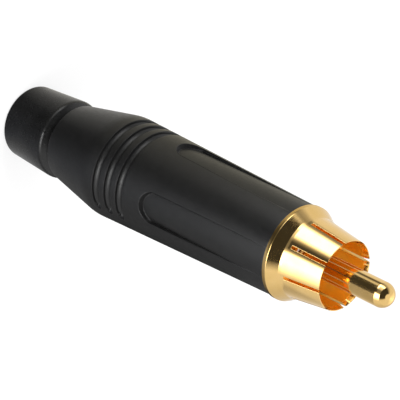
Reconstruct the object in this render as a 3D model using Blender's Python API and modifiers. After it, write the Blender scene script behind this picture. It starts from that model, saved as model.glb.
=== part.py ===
"""A phono plug with a slotted turned contact, built as separate pieces on one vertical axis.

All lengths are metres. The plug stands on the rear face of its boot, the axis is +Z and the
centre pin points up. Heights are measured from the boot's rear face.
"""
import math

import bmesh
import bpy
from mathutils import Matrix, Vector

# Clearances between pieces
FIT_GAP = 0.0003
SEAT_GAP = 0.0003

# Cable way and rear boot
CABLE_BORE_RADIUS = 0.0033
SPIGOT_WALL = 0.0007
BOOT_WALL = 0.0007
BOOT_FLARE = 0.00047
BOOT_LENGTH = 0.0092
BOOT_FLOOR = 0.0014
BOOT_REAR_EDGE = 0.0003
BOOT_LIP_WALL = 0.0003
BOOT_LIP_LENGTH = 0.00055
BOOT_FACE_RISE = 0.0005
BOOT_SHOULDER_REACH = 0.00065

# Shell, outside
SHELL_LENGTH = 0.0393
NECK_WALL = 0.00131
FLARE_LENGTH = 0.0078
SHOULDER_ROUND = 0.0016
SHOULDER_WALL = 0.00215
FRONT_WALL = 0.0012
SHELL_EDGE = 0.00015

# Grip grooves, in two opposite sets of arcs
GROOVE_COUNT = 3
GROOVE_PITCH = 0.0021
GROOVE_WIDTH = 0.0013
GROOVE_DEPTH = 0.0004
GROOVE_SETBACK = 0.00315
GROOVE_HALF_SPAN_DEG = 72.5

# Long recesses that run out at the front of the shell
RECESS_COUNT = 4
RECESS_LENGTH = 0.0206
RECESS_WIDTH = 0.0041
RECESS_FRONT_DEPTH = 0.00005
RECESS_FIRST_DEG = 45.0

# Centre pin, the standard one of this interface
PIN_RADIUS = 0.0015875
PIN_STICKOUT = 0.0074
PIN_COLLAR_OVERHANG = 0.0007
PIN_COLLAR_THICKNESS = 0.0008
TAIL_RADIUS = 0.0013
TAIL_STICKOUT = 0.0061
CUP_WALL = 0.0004
CUP_DEPTH = 0.0035
CUP_WINDOW_LENGTH = 0.0024

# Outer contact
FLANGE_OVERHANG = 0.00015
FLANGE_THICKNESS = 0.0005
FLANGE_EDGE = 0.0001
SHOULDER_DROP_LENGTH = 0.00125
SHOULDER_BOW = 0.00004
FILLET_LENGTH = 0.00055
FILLET_DEPTH = 0.0002
PETAL_ROOT_WALL = 0.00102
PETAL_TIP_WALL = 0.00034
PETAL_BORE_RADIUS = 0.00415
PETAL_LENGTH = 0.0054
LEAD_IN_DEPTH = 0.00015
LEAD_IN_LENGTH = 0.0006
SLOT_COUNT = 8
SLOT_WIDTH = 0.0004
SLOT_LENGTH = 0.0051
SLOT_FIRST_DEG = -78.0
THREAD_RADIUS = 0.0045
THREAD_LENGTH = 0.0077
THREAD_RELIEF_DEPTH = 0.00025
THREAD_RELIEF_LENGTH = 0.0004
CONTACT_WALL = 0.0006
LIP_DEPTH = 0.0014
LIP_THICKNESS = 0.0009

# Insulators, earth lug and retaining ring inside the outer contact
FRONT_INSULATOR_THICKNESS = 0.0022
BOSS_SETBACK = 0.0003
REAR_INSULATOR_THICKNESS = 0.0024
LUG_THICKNESS = 0.0004
LUG_TAB_LENGTH = 0.0124
LUG_TAB_WIDTH = 0.0022
LUG_HOLE_RADIUS = 0.0005
RING_THICKNESS = 0.0011
RING_WIDTH = 0.0004

# Sleeve and cable clamp inside the shell
SLEEVE_WALL = 0.0004
SLEEVE_LENGTH = 0.0178
CLAMP_SETBACK = 0.0012
CLAMP_CONE_LENGTH = 0.0042
CLAMP_NOSE_WALL = 0.0005
CLAMP_SLOT_WIDTH = 0.0008
CLAMP_UNCUT_LENGTH = 0.003
CLAMP_JAWS = 4
TOOTH_COUNT = 3
TOOTH_PITCH = 0.0014
TOOTH_HEIGHT = 0.0002

# Facets around the axis
SHELL_SEGMENTS = 64
CONTACT_SEGMENTS = 64
INNER_SEGMENTS = 40
GROOVE_ARC_STEPS = 6
PIN_SEGMENTS = 32
MERGE_DISTANCE = 0.000001
CUT_MARGIN = 0.001

# Radii that follow
SPIGOT_RADIUS = CABLE_BORE_RADIUS + SPIGOT_WALL
BOOT_SOCKET_RADIUS = SPIGOT_RADIUS + FIT_GAP
BOOT_REAR_RADIUS = BOOT_SOCKET_RADIUS + BOOT_WALL
BOOT_FRONT_RADIUS = BOOT_REAR_RADIUS + BOOT_FLARE
BOOT_LIP_RADIUS = BOOT_SOCKET_RADIUS + BOOT_LIP_WALL
SHELL_BORE_RADIUS = THREAD_RADIUS + FIT_GAP
NECK_RADIUS = SPIGOT_RADIUS + NECK_WALL
SHOULDER_RADIUS = SHELL_BORE_RADIUS + SHOULDER_WALL
SHELL_FRONT_RADIUS = SHELL_BORE_RADIUS + FRONT_WALL
RECESS_FLOOR_RADIUS = SHELL_FRONT_RADIUS - RECESS_FRONT_DEPTH
FLANGE_RADIUS = SHELL_FRONT_RADIUS + FLANGE_OVERHANG
PETAL_ROOT_RADIUS = PETAL_BORE_RADIUS + PETAL_ROOT_WALL
PETAL_TIP_RADIUS = PETAL_BORE_RADIUS + PETAL_TIP_WALL
CONTACT_BORE_RADIUS = THREAD_RADIUS - CONTACT_WALL
LIP_RADIUS = CONTACT_BORE_RADIUS - LIP_DEPTH
INSULATOR_RADIUS = CONTACT_BORE_RADIUS - FIT_GAP
BOSS_RADIUS = LIP_RADIUS - FIT_GAP
PIN_HOLE_RADIUS = PIN_RADIUS + FIT_GAP
TAIL_HOLE_RADIUS = TAIL_RADIUS + FIT_GAP
COLLAR_RADIUS = PIN_RADIUS + PIN_COLLAR_OVERHANG
RING_INNER_RADIUS = INSULATOR_RADIUS - RING_WIDTH
CLAMP_RADIUS = SHELL_BORE_RADIUS - FIT_GAP
CLAMP_NOSE_RADIUS = CABLE_BORE_RADIUS + CLAMP_NOSE_WALL

# Heights that follow, from the rear of the plug to the tip of the pin
SPIGOT_REAR_Z = BOOT_FLOOR + SEAT_GAP
NECK_Z = BOOT_LENGTH + SEAT_GAP
FLARE_FRONT_Z = NECK_Z + FLARE_LENGTH
SHOULDER_Z = FLARE_FRONT_Z + SHOULDER_ROUND
SHELL_FRONT_Z = NECK_Z + SHELL_LENGTH
FIRST_GROOVE_Z = FLARE_FRONT_Z + GROOVE_SETBACK
FLANGE_Z = SHELL_FRONT_Z + SEAT_GAP
FLANGE_FRONT_Z = FLANGE_Z + FLANGE_THICKNESS
SHOULDER_FOOT_Z = FLANGE_FRONT_Z + SHOULDER_DROP_LENGTH
PETAL_ROOT_Z = SHOULDER_FOOT_Z + FILLET_LENGTH
RING_TIP_Z = PETAL_ROOT_Z + PETAL_LENGTH
SLOT_END_Z = RING_TIP_Z - SLOT_LENGTH
CONTACT_REAR_Z = FLANGE_Z - THREAD_LENGTH
LIP_FRONT_Z = SHOULDER_FOOT_Z
LIP_REAR_Z = LIP_FRONT_Z - LIP_THICKNESS
BOSS_FRONT_Z = LIP_FRONT_Z - BOSS_SETBACK
INSULATOR_FRONT_Z = LIP_REAR_Z - SEAT_GAP
INSULATOR_REAR_Z = INSULATOR_FRONT_Z - FRONT_INSULATOR_THICKNESS
COLLAR_FRONT_Z = INSULATOR_REAR_Z - SEAT_GAP
COLLAR_REAR_Z = COLLAR_FRONT_Z - PIN_COLLAR_THICKNESS
BACK_INSULATOR_FRONT_Z = COLLAR_REAR_Z - SEAT_GAP
BACK_INSULATOR_REAR_Z = BACK_INSULATOR_FRONT_Z - REAR_INSULATOR_THICKNESS
LUG_FRONT_Z = BACK_INSULATOR_REAR_Z - SEAT_GAP
LUG_REAR_Z = LUG_FRONT_Z - LUG_THICKNESS
RING_FRONT_Z = LUG_REAR_Z - SEAT_GAP
RING_REAR_Z = RING_FRONT_Z - RING_THICKNESS
TAIL_REAR_Z = BACK_INSULATOR_REAR_Z - TAIL_STICKOUT
PIN_TIP_Z = RING_TIP_Z + PIN_STICKOUT
SLEEVE_FRONT_Z = CONTACT_REAR_Z - SEAT_GAP
SLEEVE_REAR_Z = SLEEVE_FRONT_Z - SLEEVE_LENGTH
CLAMP_FRONT_Z = SLEEVE_REAR_Z - SEAT_GAP
CLAMP_REAR_Z = NECK_Z + CLAMP_SETBACK
CLAMP_BODY_REAR_Z = CLAMP_REAR_Z + CLAMP_CONE_LENGTH


def clear_scene():
    for old in list(bpy.data.objects):
        bpy.data.objects.remove(old, do_unlink=True)


def new_collection(name):
    collection = bpy.data.collections.new(name)
    bpy.context.scene.collection.children.link(collection)
    return collection


def new_material(name, colour, metallic, roughness):
    material = bpy.data.materials.new(name)
    material.use_nodes = True
    shader = material.node_tree.nodes["Principled BSDF"]
    shader.inputs["Base Color"].default_value = (*colour, 1.0)
    shader.inputs["Metallic"].default_value = metallic
    shader.inputs["Roughness"].default_value = roughness
    return material


def new_object(name, mesh, collection, material=None):
    piece = bpy.data.objects.new(name, mesh)
    collection.objects.link(piece)
    if material is not None:
        mesh.materials.append(material)
    return piece


def bmesh_to_mesh(bm, name):
    mesh = bpy.data.meshes.new(name)
    bm.to_mesh(mesh)
    bm.free()
    return mesh


def turned(name, profile, segments, material, hollow=True):
    """Turn a profile of (radius, height) points, listed down its outer side, about the Z axis."""
    bm = bmesh.new()
    verts = [bm.verts.new((radius, 0.0, height)) for radius, height in profile]
    for first, second in zip(verts, verts[1:]):
        bm.edges.new((first, second))
    if hollow:
        bm.edges.new((verts[-1], verts[0]))
    piece = new_object(name, bmesh_to_mesh(bm, name), parts, material)
    screw = piece.modifiers.new("turn", "SCREW")
    screw.axis = "Z"
    screw.steps = segments
    screw.render_steps = segments
    screw.use_merge_vertices = True
    screw.merge_threshold = MERGE_DISTANCE
    screw.use_smooth_shade = True
    return piece


def cut(piece, cutter):
    boolean = piece.modifiers.new(cutter.name, "BOOLEAN")
    boolean.operation = "DIFFERENCE"
    boolean.solver = "EXACT"
    boolean.object = cutter


def new_cutter(name, bm):
    bmesh.ops.recalc_face_normals(bm, faces=bm.faces)
    cutter = new_object(name, bmesh_to_mesh(bm, name), cutters)
    cutter.hide_render = True
    cutter.display_type = "WIRE"
    return cutter


def add_box(bm, low, high):
    """Add a box between two corners and return its corner points."""
    low = Vector(low)
    high = Vector(high)
    size = high - low
    matrix = Matrix.Translation((low + high) / 2) @ Matrix.Diagonal((*size, 1.0))
    return bmesh.ops.create_cube(bm, size=1.0, matrix=matrix)["verts"]


def radial_slot_cutter(name, width, low_z, high_z, reach, angle):
    """A thin box across the axis, which cuts two opposite slots."""
    bm = bmesh.new()
    verts = add_box(bm, (-reach, -width / 2, low_z), (reach, width / 2, high_z))
    bmesh.ops.rotate(bm, verts=verts, cent=(0, 0, 0), matrix=Matrix.Rotation(angle, 3, "Z"))
    return new_cutter(name, bm)


def bowed_line(start, end, steps, bow):
    """Points between two (radius, height) points that bulge outwards by bow at the middle."""
    points = []
    for step in range(steps + 1):
        share = step / steps
        points.append((
            start[0] + (end[0] - start[0]) * share + bow * math.sin(math.pi * share),
            start[1] + (end[1] - start[1]) * share,
        ))
    return points


def quarter_arc(start, end, steps, bulge_towards_start):
    """Points of a quarter ellipse between two (radius, height) points, both ends included."""
    points = []
    for step in range(steps + 1):
        turn = math.pi / 2 * step / steps
        if bulge_towards_start:
            along_radius = 1.0 - math.cos(turn)
            along_height = math.sin(turn)
        else:
            along_radius = math.sin(turn)
            along_height = 1.0 - math.cos(turn)
        points.append((
            start[0] + (end[0] - start[0]) * along_radius,
            start[1] + (end[1] - start[1]) * along_height,
        ))
    return points


def rounded_corner(before, corner, after, reach, steps):
    """Points of a smooth curve that starts and ends a given reach before and after a corner."""
    corner = Vector(corner)
    start = corner + (Vector(before) - corner).normalized() * reach
    end = corner + (Vector(after) - corner).normalized() * reach
    points = []
    for step in range(steps + 1):
        share = step / steps
        point = start * (1 - share) ** 2 + corner * 2 * share * (1 - share) + end * share ** 2
        points.append((point.x, point.y))
    return points


def shell_taper_radius(height):
    """Outer radius of the straight taper between the shoulder and the front of the shell."""
    share = (height - SHOULDER_Z) / (SHELL_FRONT_Z - SHOULDER_Z)
    return SHOULDER_RADIUS + (SHELL_FRONT_RADIUS - SHOULDER_RADIUS) * share


def shoulder_round(steps):
    """Points down the rounded shoulder, a parabola that runs into the straight flare of the neck."""
    slope = (SHOULDER_RADIUS - NECK_RADIUS) / (FLARE_LENGTH + SHOULDER_ROUND / 2)
    points = []
    for step in range(steps + 1):
        share = step / steps
        drop = slope * SHOULDER_ROUND / 2 * share ** 2
        points.append((SHOULDER_RADIUS - drop, SHOULDER_Z - SHOULDER_ROUND * share))
    return points


def make_shell():
    """Die-cast shell: spigot, flared neck, rounded shoulder and a straight taper to the front."""
    profile = [
        (SHELL_BORE_RADIUS, SHELL_FRONT_Z),
        (SHELL_FRONT_RADIUS - SHELL_EDGE, SHELL_FRONT_Z),
        (SHELL_FRONT_RADIUS, SHELL_FRONT_Z - SHELL_EDGE),
        *shoulder_round(4),
        (NECK_RADIUS, NECK_Z),
        (SPIGOT_RADIUS, NECK_Z),
        (SPIGOT_RADIUS, SPIGOT_REAR_Z),
        (CABLE_BORE_RADIUS, SPIGOT_REAR_Z),
        (CABLE_BORE_RADIUS, CLAMP_REAR_Z - SEAT_GAP),
        (CLAMP_NOSE_RADIUS + FIT_GAP, CLAMP_REAR_Z - SEAT_GAP),
        (SHELL_BORE_RADIUS, CLAMP_BODY_REAR_Z),
    ]
    shell = turned("shell", profile, SHELL_SEGMENTS, black_metal)
    cut(shell, grip_groove_cutter())
    cut(shell, recess_cutter())
    return shell


def groove_section(middle_z):
    """Corners of a round-bottomed groove, as (radius, height) points closed outside the shell."""
    half = GROOVE_WIDTH / 2
    curve = (half ** 2 + GROOVE_DEPTH ** 2) / (2 * GROOVE_DEPTH)
    reach = math.asin(half / curve)
    floor = shell_taper_radius(middle_z) - GROOVE_DEPTH
    outside = SHOULDER_RADIUS + CUT_MARGIN
    corners = [(outside, middle_z - half)]
    for step in range(GROOVE_ARC_STEPS + 1):
        turn = reach * (2 * step / GROOVE_ARC_STEPS - 1)
        corners.append((floor + curve * (1 - math.cos(turn)), middle_z + curve * math.sin(turn)))
    corners.append((outside, middle_z + half))
    return corners


def grip_groove_cutter():
    """Arcs of a ring, in two sets either side of the bare lands at +X and -X."""
    bm = bmesh.new()
    span = math.radians(2 * GROOVE_HALF_SPAN_DEG)
    for side in (math.pi / 2, -math.pi / 2):
        for index in range(GROOVE_COUNT):
            corners = groove_section(FIRST_GROOVE_Z + index * GROOVE_PITCH)
            section = bm.faces.new([bm.verts.new((radius, 0.0, height)) for radius, height in corners])
            start = Matrix.Rotation(side - span / 2, 3, "Z")
            bmesh.ops.rotate(bm, verts=section.verts, cent=(0, 0, 0), matrix=start)
            steps = round(SHELL_SEGMENTS * span / math.tau)
            bmesh.ops.spin(bm, geom=[section, *section.edges, *section.verts], cent=(0, 0, 0),
                           axis=(0, 0, 1), angle=span, steps=steps)
    return new_cutter("grip_groove_cutter", bm)


def recess_cutter():
    """Four slot-shaped blocks, round at the rear, that stop at a round core: the recesses' floor."""
    bm = bmesh.new()
    rear_z = SHELL_FRONT_Z - RECESS_LENGTH
    inner = RECESS_FLOOR_RADIUS - CUT_MARGIN
    height = SHOULDER_RADIUS + CUT_MARGIN - inner
    half_width = RECESS_WIDTH / 2
    for index in range(RECESS_COUNT):
        verts = bmesh.ops.create_cone(
            bm, cap_ends=True, segments=24, radius1=half_width, radius2=half_width, depth=height)["verts"]
        front = [vert for vert in verts if vert.co.x > MERGE_DISTANCE]
        bmesh.ops.translate(bm, verts=front, vec=(RECESS_LENGTH, 0, 0))
        bmesh.ops.translate(bm, verts=verts, vec=(half_width, 0, height / 2))
        place = (
            Matrix.Rotation(math.radians(RECESS_FIRST_DEG + index * 360 / RECESS_COUNT), 4, "Z")
            @ Matrix.Translation((inner, 0, rear_z))
            @ Matrix.Rotation(-math.pi / 2, 4, "Y")
            @ Matrix.Diagonal((1, 1, -1, 1))
        )
        bmesh.ops.transform(bm, matrix=place, verts=verts)
    cutter = new_cutter("recess_cutter", bm)
    core = bmesh.new()
    length = SHELL_LENGTH + RECESS_LENGTH
    bmesh.ops.create_cone(core, cap_ends=True, segments=SHELL_SEGMENTS, radius1=RECESS_FLOOR_RADIUS,
                          radius2=RECESS_FLOOR_RADIUS, depth=length,
                          matrix=Matrix.Translation((0, 0, SHELL_FRONT_Z)))
    cut(cutter, new_cutter("recess_core", core))
    return cutter


def make_rear_boot():
    """Push-on boot: a slightly flared cup with a round front shoulder and the cable hole in its floor."""
    lip_rear_z = BOOT_LENGTH - BOOT_LIP_LENGTH
    profile = [
        (BOOT_SOCKET_RADIUS, BOOT_LENGTH),
        (BOOT_LIP_RADIUS, BOOT_LENGTH),
        (BOOT_LIP_RADIUS, lip_rear_z),
        *rounded_corner((BOOT_LIP_RADIUS, lip_rear_z), (BOOT_FRONT_RADIUS, lip_rear_z - BOOT_FACE_RISE),
                        (BOOT_REAR_RADIUS, BOOT_REAR_EDGE), BOOT_SHOULDER_REACH, 5),
        *quarter_arc((BOOT_REAR_RADIUS, BOOT_REAR_EDGE), (BOOT_REAR_RADIUS - BOOT_REAR_EDGE, 0.0), 3, True),
        (CABLE_BORE_RADIUS, 0.0),
        (CABLE_BORE_RADIUS, BOOT_FLOOR),
        (BOOT_SOCKET_RADIUS, BOOT_FLOOR),
    ]
    return turned("rear_boot", profile, SHELL_SEGMENTS, black_plastic)


def make_cable_clamp():
    """Chuck of four jaws that the shell's conical seat closes on the cable."""
    tooth_rear_z = CLAMP_BODY_REAR_Z - CLAMP_CONE_LENGTH / 2
    teeth = []
    for index in range(TOOTH_COUNT):
        root_z = tooth_rear_z + index * TOOTH_PITCH
        teeth.append((CABLE_BORE_RADIUS + TOOTH_HEIGHT, root_z))
        teeth.append((CABLE_BORE_RADIUS, root_z + TOOTH_PITCH / 2))
    profile = [
        (CABLE_BORE_RADIUS + TOOTH_HEIGHT, CLAMP_FRONT_Z),
        (CLAMP_RADIUS, CLAMP_FRONT_Z),
        (CLAMP_RADIUS, CLAMP_BODY_REAR_Z),
        (CLAMP_NOSE_RADIUS, CLAMP_REAR_Z),
        (CABLE_BORE_RADIUS, CLAMP_REAR_Z),
        *teeth,
    ]
    clamp = turned("cable_clamp", profile, INNER_SEGMENTS, grey_plastic)
    for index in range(CLAMP_JAWS // 2):
        angle = math.pi * index / (CLAMP_JAWS // 2) + math.pi / CLAMP_JAWS
        cut(clamp, radial_slot_cutter(
            "clamp_slot_cutter_%d" % (index + 1), CLAMP_SLOT_WIDTH, CLAMP_REAR_Z - CUT_MARGIN,
            CLAMP_FRONT_Z - CLAMP_UNCUT_LENGTH, CLAMP_RADIUS + CUT_MARGIN, angle))
    return clamp


def make_insulating_sleeve():
    """Thin tube around the soldered joints."""
    inner_radius = THREAD_RADIUS - SLEEVE_WALL
    profile = [
        (inner_radius, SLEEVE_FRONT_Z),
        (THREAD_RADIUS, SLEEVE_FRONT_Z),
        (THREAD_RADIUS, SLEEVE_REAR_Z),
        (inner_radius, SLEEVE_REAR_Z),
    ]
    return turned("insulating_sleeve", profile, INNER_SEGMENTS, grey_plastic)


def make_outer_contact():
    """Turned contact: threaded rear end, flange, rounded shoulder and a slotted spring ring."""
    relief_radius = THREAD_RADIUS - THREAD_RELIEF_DEPTH
    foot_radius = PETAL_ROOT_RADIUS + FILLET_DEPTH
    profile = [
        (PETAL_BORE_RADIUS, RING_TIP_Z - LEAD_IN_LENGTH),
        (PETAL_BORE_RADIUS + LEAD_IN_DEPTH, RING_TIP_Z),
        (PETAL_TIP_RADIUS, RING_TIP_Z),
        (PETAL_ROOT_RADIUS, PETAL_ROOT_Z),
        *bowed_line((foot_radius, SHOULDER_FOOT_Z), (FLANGE_RADIUS - FLANGE_EDGE / 2, FLANGE_FRONT_Z + FLANGE_EDGE),
                    4, SHOULDER_BOW),
        (FLANGE_RADIUS, FLANGE_FRONT_Z),
        (FLANGE_RADIUS, FLANGE_Z),
        (relief_radius, FLANGE_Z),
        (relief_radius, FLANGE_Z - THREAD_RELIEF_LENGTH),
        (THREAD_RADIUS, FLANGE_Z - 2 * THREAD_RELIEF_LENGTH),
        (THREAD_RADIUS, CONTACT_REAR_Z + THREAD_RELIEF_DEPTH),
        (relief_radius, CONTACT_REAR_Z),
        (CONTACT_BORE_RADIUS, CONTACT_REAR_Z),
        (CONTACT_BORE_RADIUS, LIP_REAR_Z),
        (LIP_RADIUS, LIP_REAR_Z),
        (LIP_RADIUS, LIP_FRONT_Z),
        (PETAL_BORE_RADIUS, LIP_FRONT_Z),
    ]
    contact = turned("outer_contact", profile, CONTACT_SEGMENTS, gold)
    for index in range(SLOT_COUNT // 2):
        angle = math.radians(SLOT_FIRST_DEG) + math.tau * index / SLOT_COUNT
        cut(contact, radial_slot_cutter(
            "contact_slot_cutter_%d" % (index + 1), SLOT_WIDTH, SLOT_END_Z, RING_TIP_Z + CUT_MARGIN,
            FLANGE_RADIUS + CUT_MARGIN, angle))
    return contact


def make_front_insulator():
    """Disc behind the contact's lip, with a boss that stands through it around the pin."""
    profile = [
        (PIN_HOLE_RADIUS, BOSS_FRONT_Z),
        (BOSS_RADIUS, BOSS_FRONT_Z),
        (BOSS_RADIUS, INSULATOR_FRONT_Z),
        (INSULATOR_RADIUS, INSULATOR_FRONT_Z),
        (INSULATOR_RADIUS, INSULATOR_REAR_Z),
        (PIN_HOLE_RADIUS, INSULATOR_REAR_Z),
    ]
    return turned("front_insulator", profile, INNER_SEGMENTS, white_plastic)


def make_rear_insulator():
    profile = [
        (TAIL_HOLE_RADIUS, BACK_INSULATOR_FRONT_Z),
        (INSULATOR_RADIUS, BACK_INSULATOR_FRONT_Z),
        (INSULATOR_RADIUS, BACK_INSULATOR_REAR_Z),
        (TAIL_HOLE_RADIUS, BACK_INSULATOR_REAR_Z),
    ]
    return turned("rear_insulator", profile, INNER_SEGMENTS, white_plastic)


def make_center_pin():
    """Turned pin: round nose, a collar held between the insulators and a solder cup at the rear."""
    dome_foot_z = PIN_TIP_Z - PIN_RADIUS
    cup_radius = TAIL_RADIUS - CUP_WALL
    profile = [
        *quarter_arc((0.0, PIN_TIP_Z), (PIN_RADIUS, dome_foot_z), 8, False),
        (PIN_RADIUS, COLLAR_FRONT_Z),
        (COLLAR_RADIUS, COLLAR_FRONT_Z),
        (COLLAR_RADIUS, COLLAR_REAR_Z),
        (TAIL_RADIUS, COLLAR_REAR_Z),
        (TAIL_RADIUS, TAIL_REAR_Z),
        (cup_radius, TAIL_REAR_Z),
        (cup_radius, TAIL_REAR_Z + CUP_DEPTH),
        (0.0, TAIL_REAR_Z + CUP_DEPTH),
    ]
    pin = turned("center_pin", profile, PIN_SEGMENTS, gold, hollow=False)
    bm = bmesh.new()
    add_box(bm, (-COLLAR_RADIUS, 0.0, TAIL_REAR_Z - CUT_MARGIN),
            (COLLAR_RADIUS, COLLAR_RADIUS, TAIL_REAR_Z + CUP_WINDOW_LENGTH))
    cut(pin, new_cutter("solder_cup_cutter", bm))
    return pin


def make_ground_lug():
    """Flat ring with one solder tab that points to the cable."""
    tab_corner_radius = RING_INNER_RADIUS - FIT_GAP
    tab_outer_y = math.sqrt(tab_corner_radius ** 2 - (LUG_TAB_WIDTH / 2) ** 2)
    tab_inner_y = tab_outer_y - LUG_THICKNESS
    inner_radius = tab_inner_y - LUG_THICKNESS / 4
    profile = [
        (inner_radius, LUG_FRONT_Z),
        (INSULATOR_RADIUS, LUG_FRONT_Z),
        (INSULATOR_RADIUS, LUG_REAR_Z),
        (inner_radius, LUG_REAR_Z),
    ]
    lug = turned("ground_lug", profile, INNER_SEGMENTS, tinned_metal)
    bm = bmesh.new()
    add_box(bm, (-LUG_TAB_WIDTH / 2, tab_inner_y, LUG_FRONT_Z - LUG_TAB_LENGTH),
            (LUG_TAB_WIDTH / 2, tab_outer_y, LUG_FRONT_Z - LUG_THICKNESS / 4))
    tab = new_cutter("lug_tab", bm)
    join = lug.modifiers.new("tab", "BOOLEAN")
    join.operation = "UNION"
    join.solver = "EXACT"
    join.object = tab
    hole_z = LUG_FRONT_Z - LUG_TAB_LENGTH + LUG_TAB_WIDTH / 2
    bm = bmesh.new()
    hole = bmesh.ops.create_cone(bm, cap_ends=True, segments=16, radius1=LUG_HOLE_RADIUS,
                                 radius2=LUG_HOLE_RADIUS, depth=4 * LUG_THICKNESS)["verts"]
    place = Matrix.Translation((0, tab_inner_y, hole_z)) @ Matrix.Rotation(math.pi / 2, 4, "X")
    bmesh.ops.transform(bm, matrix=place, verts=hole)
    cut(lug, new_cutter("lug_hole_cutter", bm))
    return lug


def make_retaining_ring():
    """Ring that closes the rear of the contact and holds the stack in it."""
    profile = [
        (RING_INNER_RADIUS, RING_FRONT_Z),
        (INSULATOR_RADIUS, RING_FRONT_Z),
        (INSULATOR_RADIUS, RING_REAR_Z),
        (RING_INNER_RADIUS, RING_REAR_Z),
    ]
    return turned("retaining_ring", profile, INNER_SEGMENTS, tinned_metal)


def new_axis(name):
    """An empty on the plug's axis, which carries the pieces that move together."""
    empty = bpy.data.objects.new(name, None)
    parts.objects.link(empty)
    return empty


clear_scene()
parts = new_collection("phono_plug")
cutters = new_collection("cutters")

black_metal = new_material("satin_black_casting", (0.01, 0.01, 0.011), 0.0, 0.4)
black_plastic = new_material("black_boot_plastic", (0.009, 0.009, 0.009), 0.0, 0.32)
grey_plastic = new_material("clear_grey_plastic", (0.35, 0.36, 0.37), 0.0, 0.4)
white_plastic = new_material("white_insulator", (0.82, 0.81, 0.78), 0.0, 0.5)
gold = new_material("gold_plate", (0.94, 0.63, 0.24), 1.0, 0.14)
tinned_metal = new_material("tinned_brass", (0.7, 0.7, 0.68), 1.0, 0.35)

make_shell()
make_cable_clamp()

make_rear_boot().parent = new_axis("boot_axis")
make_insulating_sleeve().parent = new_axis("sleeve_axis")

contact_axis = new_axis("contact_axis")
for make_piece in (make_outer_contact, make_front_insulator, make_rear_insulator, make_center_pin,
                   make_ground_lug, make_retaining_ring):
    make_piece().parent = contact_axis
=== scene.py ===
import math

import bmesh
import bpy
from mathutils import Matrix, Vector


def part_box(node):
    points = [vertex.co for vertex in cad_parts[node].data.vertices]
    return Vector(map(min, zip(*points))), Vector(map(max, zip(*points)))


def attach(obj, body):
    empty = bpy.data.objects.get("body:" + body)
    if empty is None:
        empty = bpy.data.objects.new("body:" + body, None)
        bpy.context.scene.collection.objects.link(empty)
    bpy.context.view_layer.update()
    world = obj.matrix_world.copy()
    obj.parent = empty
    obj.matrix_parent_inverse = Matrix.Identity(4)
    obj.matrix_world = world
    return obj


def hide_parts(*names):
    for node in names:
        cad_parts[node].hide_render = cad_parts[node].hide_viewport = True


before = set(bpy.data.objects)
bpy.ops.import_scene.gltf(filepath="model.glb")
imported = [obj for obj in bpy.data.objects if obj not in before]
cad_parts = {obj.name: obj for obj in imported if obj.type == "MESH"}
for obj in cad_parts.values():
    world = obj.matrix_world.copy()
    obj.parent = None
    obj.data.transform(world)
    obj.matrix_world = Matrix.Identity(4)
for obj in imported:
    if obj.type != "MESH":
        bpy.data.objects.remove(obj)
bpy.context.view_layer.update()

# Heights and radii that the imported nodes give, in metres
BOOT_FRONT_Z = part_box("rear_boot")[1].z
BOOT_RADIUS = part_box("rear_boot")[1].x
SHELL_REAR_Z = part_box("shell")[0].z
SHELL_FRONT_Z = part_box("shell")[1].z
SHOULDER_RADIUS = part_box("shell")[1].x
CONTACT_REAR_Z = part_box("outer_contact")[0].z
RING_TIP_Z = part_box("outer_contact")[1].z
FLANGE_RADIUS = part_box("outer_contact")[1].x
PIN_REAR_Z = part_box("center_pin")[0].z
PIN_TIP_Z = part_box("center_pin")[1].z
SLEEVE_REAR_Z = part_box("insulating_sleeve")[0].z
SLEEVE_FRONT_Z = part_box("insulating_sleeve")[1].z
SLEEVE_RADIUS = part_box("insulating_sleeve")[1].x
CLAMP_REAR_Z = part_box("cable_clamp")[0].z
CLAMP_FRONT_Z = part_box("cable_clamp")[1].z
CLAMP_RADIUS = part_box("cable_clamp")[1].x

# Sizes of the finer pieces, in metres
CABLE_BORE_RADIUS = 0.0033
SPIGOT_RADIUS = 0.004
BOOT_LIP_RADIUS = 0.0046
BOOT_SOCKET_RADIUS = 0.0043
BOOT_FLOOR = 0.0014
SHELL_BORE_RADIUS = 0.0048
SHELL_FRONT_RADIUS = 0.006
NECK_RADIUS = 0.00531
FLARE_LENGTH = 0.0078
SHOULDER_ROUND = 0.0016
GROOVE_WIDTH = 0.0013
GROOVE_DEPTH = 0.00057
GROOVE_RIM = 0.00005
GROOVE_CURVE = 0.0009
GROOVE_PITCH = 0.0021
GROOVE_COUNT = 3
GROOVE_HALF_SPAN = math.radians(72.5)
RECESS_LENGTH = 0.0206
RECESS_HALF_WIDTH = 0.00205
RECESS_REAR_DEPTH = 0.00052
RECESS_FRONT_DEPTH = 0.00002
RECESS_WALL_WIDTH = 0.00015
RECESS_REAR_WIDENING = 0.00018
RECESS_COUNT = 4
SLOT_COUNT = 8
SLOT_WIDTH = 0.0004
SLOT_LENGTH = 0.0051
SLOT_FIRST_ANGLE = math.radians(-78.0)
FLANGE_FRONT_Z = 0.04967
SHOULDER_FOOT_RADIUS = 0.00521
SHOULDER_FOOT_Z = 0.05112
PETAL_BORE_RADIUS = 0.00415
PETAL_TIP_RADIUS = 0.00449
PIN_RADIUS = 0.0015875
THREAD_PITCH = 0.00075
STACK_RADIUS = 0.0036
CLAMP_SEAT_RADIUS = 0.0041
CLAMP_SEAT_GAP = 0.0003
CLAMP_CONE_LENGTH = 0.0042

# The camera's azimuth, in degrees from -Y towards +X; the azimuths below are counted from it
CAMERA_AZIMUTH = 15.14

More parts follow.
